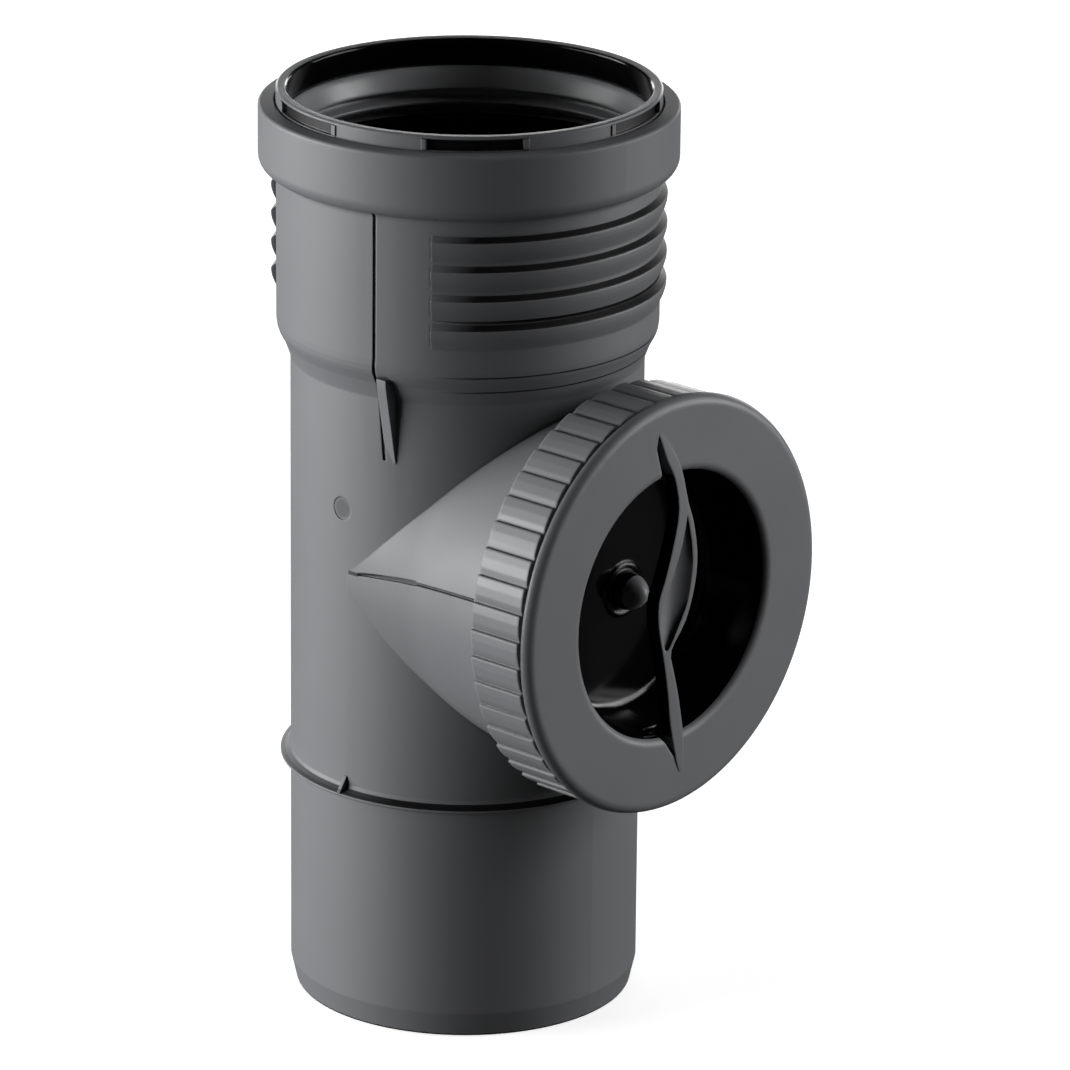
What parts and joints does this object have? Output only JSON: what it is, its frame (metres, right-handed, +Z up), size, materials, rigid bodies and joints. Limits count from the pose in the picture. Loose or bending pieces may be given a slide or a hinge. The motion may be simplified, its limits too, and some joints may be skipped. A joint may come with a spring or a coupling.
{
  "type": "straight access pipe with screw cap",
  "caption": "Straight push-fit drain pipe length with a ring-seal socket on top, a plain spigot below and a side access branch closed by a screw cap with an S-shaped handle.",
  "frame": {"origin": "centre of the spigot's lower end, on the pipe's axis", "axes": "+Z up along the pipe towards the socket, +X along the branch out through the cap"},
  "size_m": [0.1539, 0.1322, 0.2931],
  "materials": {
    "polypropylene_pipe": "satin moulded black polypropylene",
    "polypropylene_cap": "satin moulded black polypropylene",
    "polypropylene_ring": "half-gloss moulded black polypropylene",
    "seal_rubber": "smooth black rubber",
    "gasket_rubber": "smooth black rubber"
  },
  "bodies": {
    "pipe_body": {"pipe_body": "polypropylene_pipe", "socket_seal": "seal_rubber", "seal_retaining_ring": "polypropylene_ring"},
    "cap_seal": {"cap_seal": "gasket_rubber"},
    "screw_cap": {"screw_cap": "polypropylene_cap"}
  },
  "joints": [
    {"name": "cap_travel", "type": "slide", "parent": "pipe_body", "child": "cap_seal", "axis": [1, 0, 0], "range_m": [0, 0.0211]},
    {"name": "cap_turn", "type": "hinge", "parent": "cap_seal", "child": "screw_cap", "pos_m": [0, 0, 0.1456], "axis": [1, 0, 0], "range_deg": [0, 1080]}
  ],
  "couplings": [
    {"joint": "cap_travel", "follows": "cap_turn", "m_per_rad": 0.0011141}
  ]
}
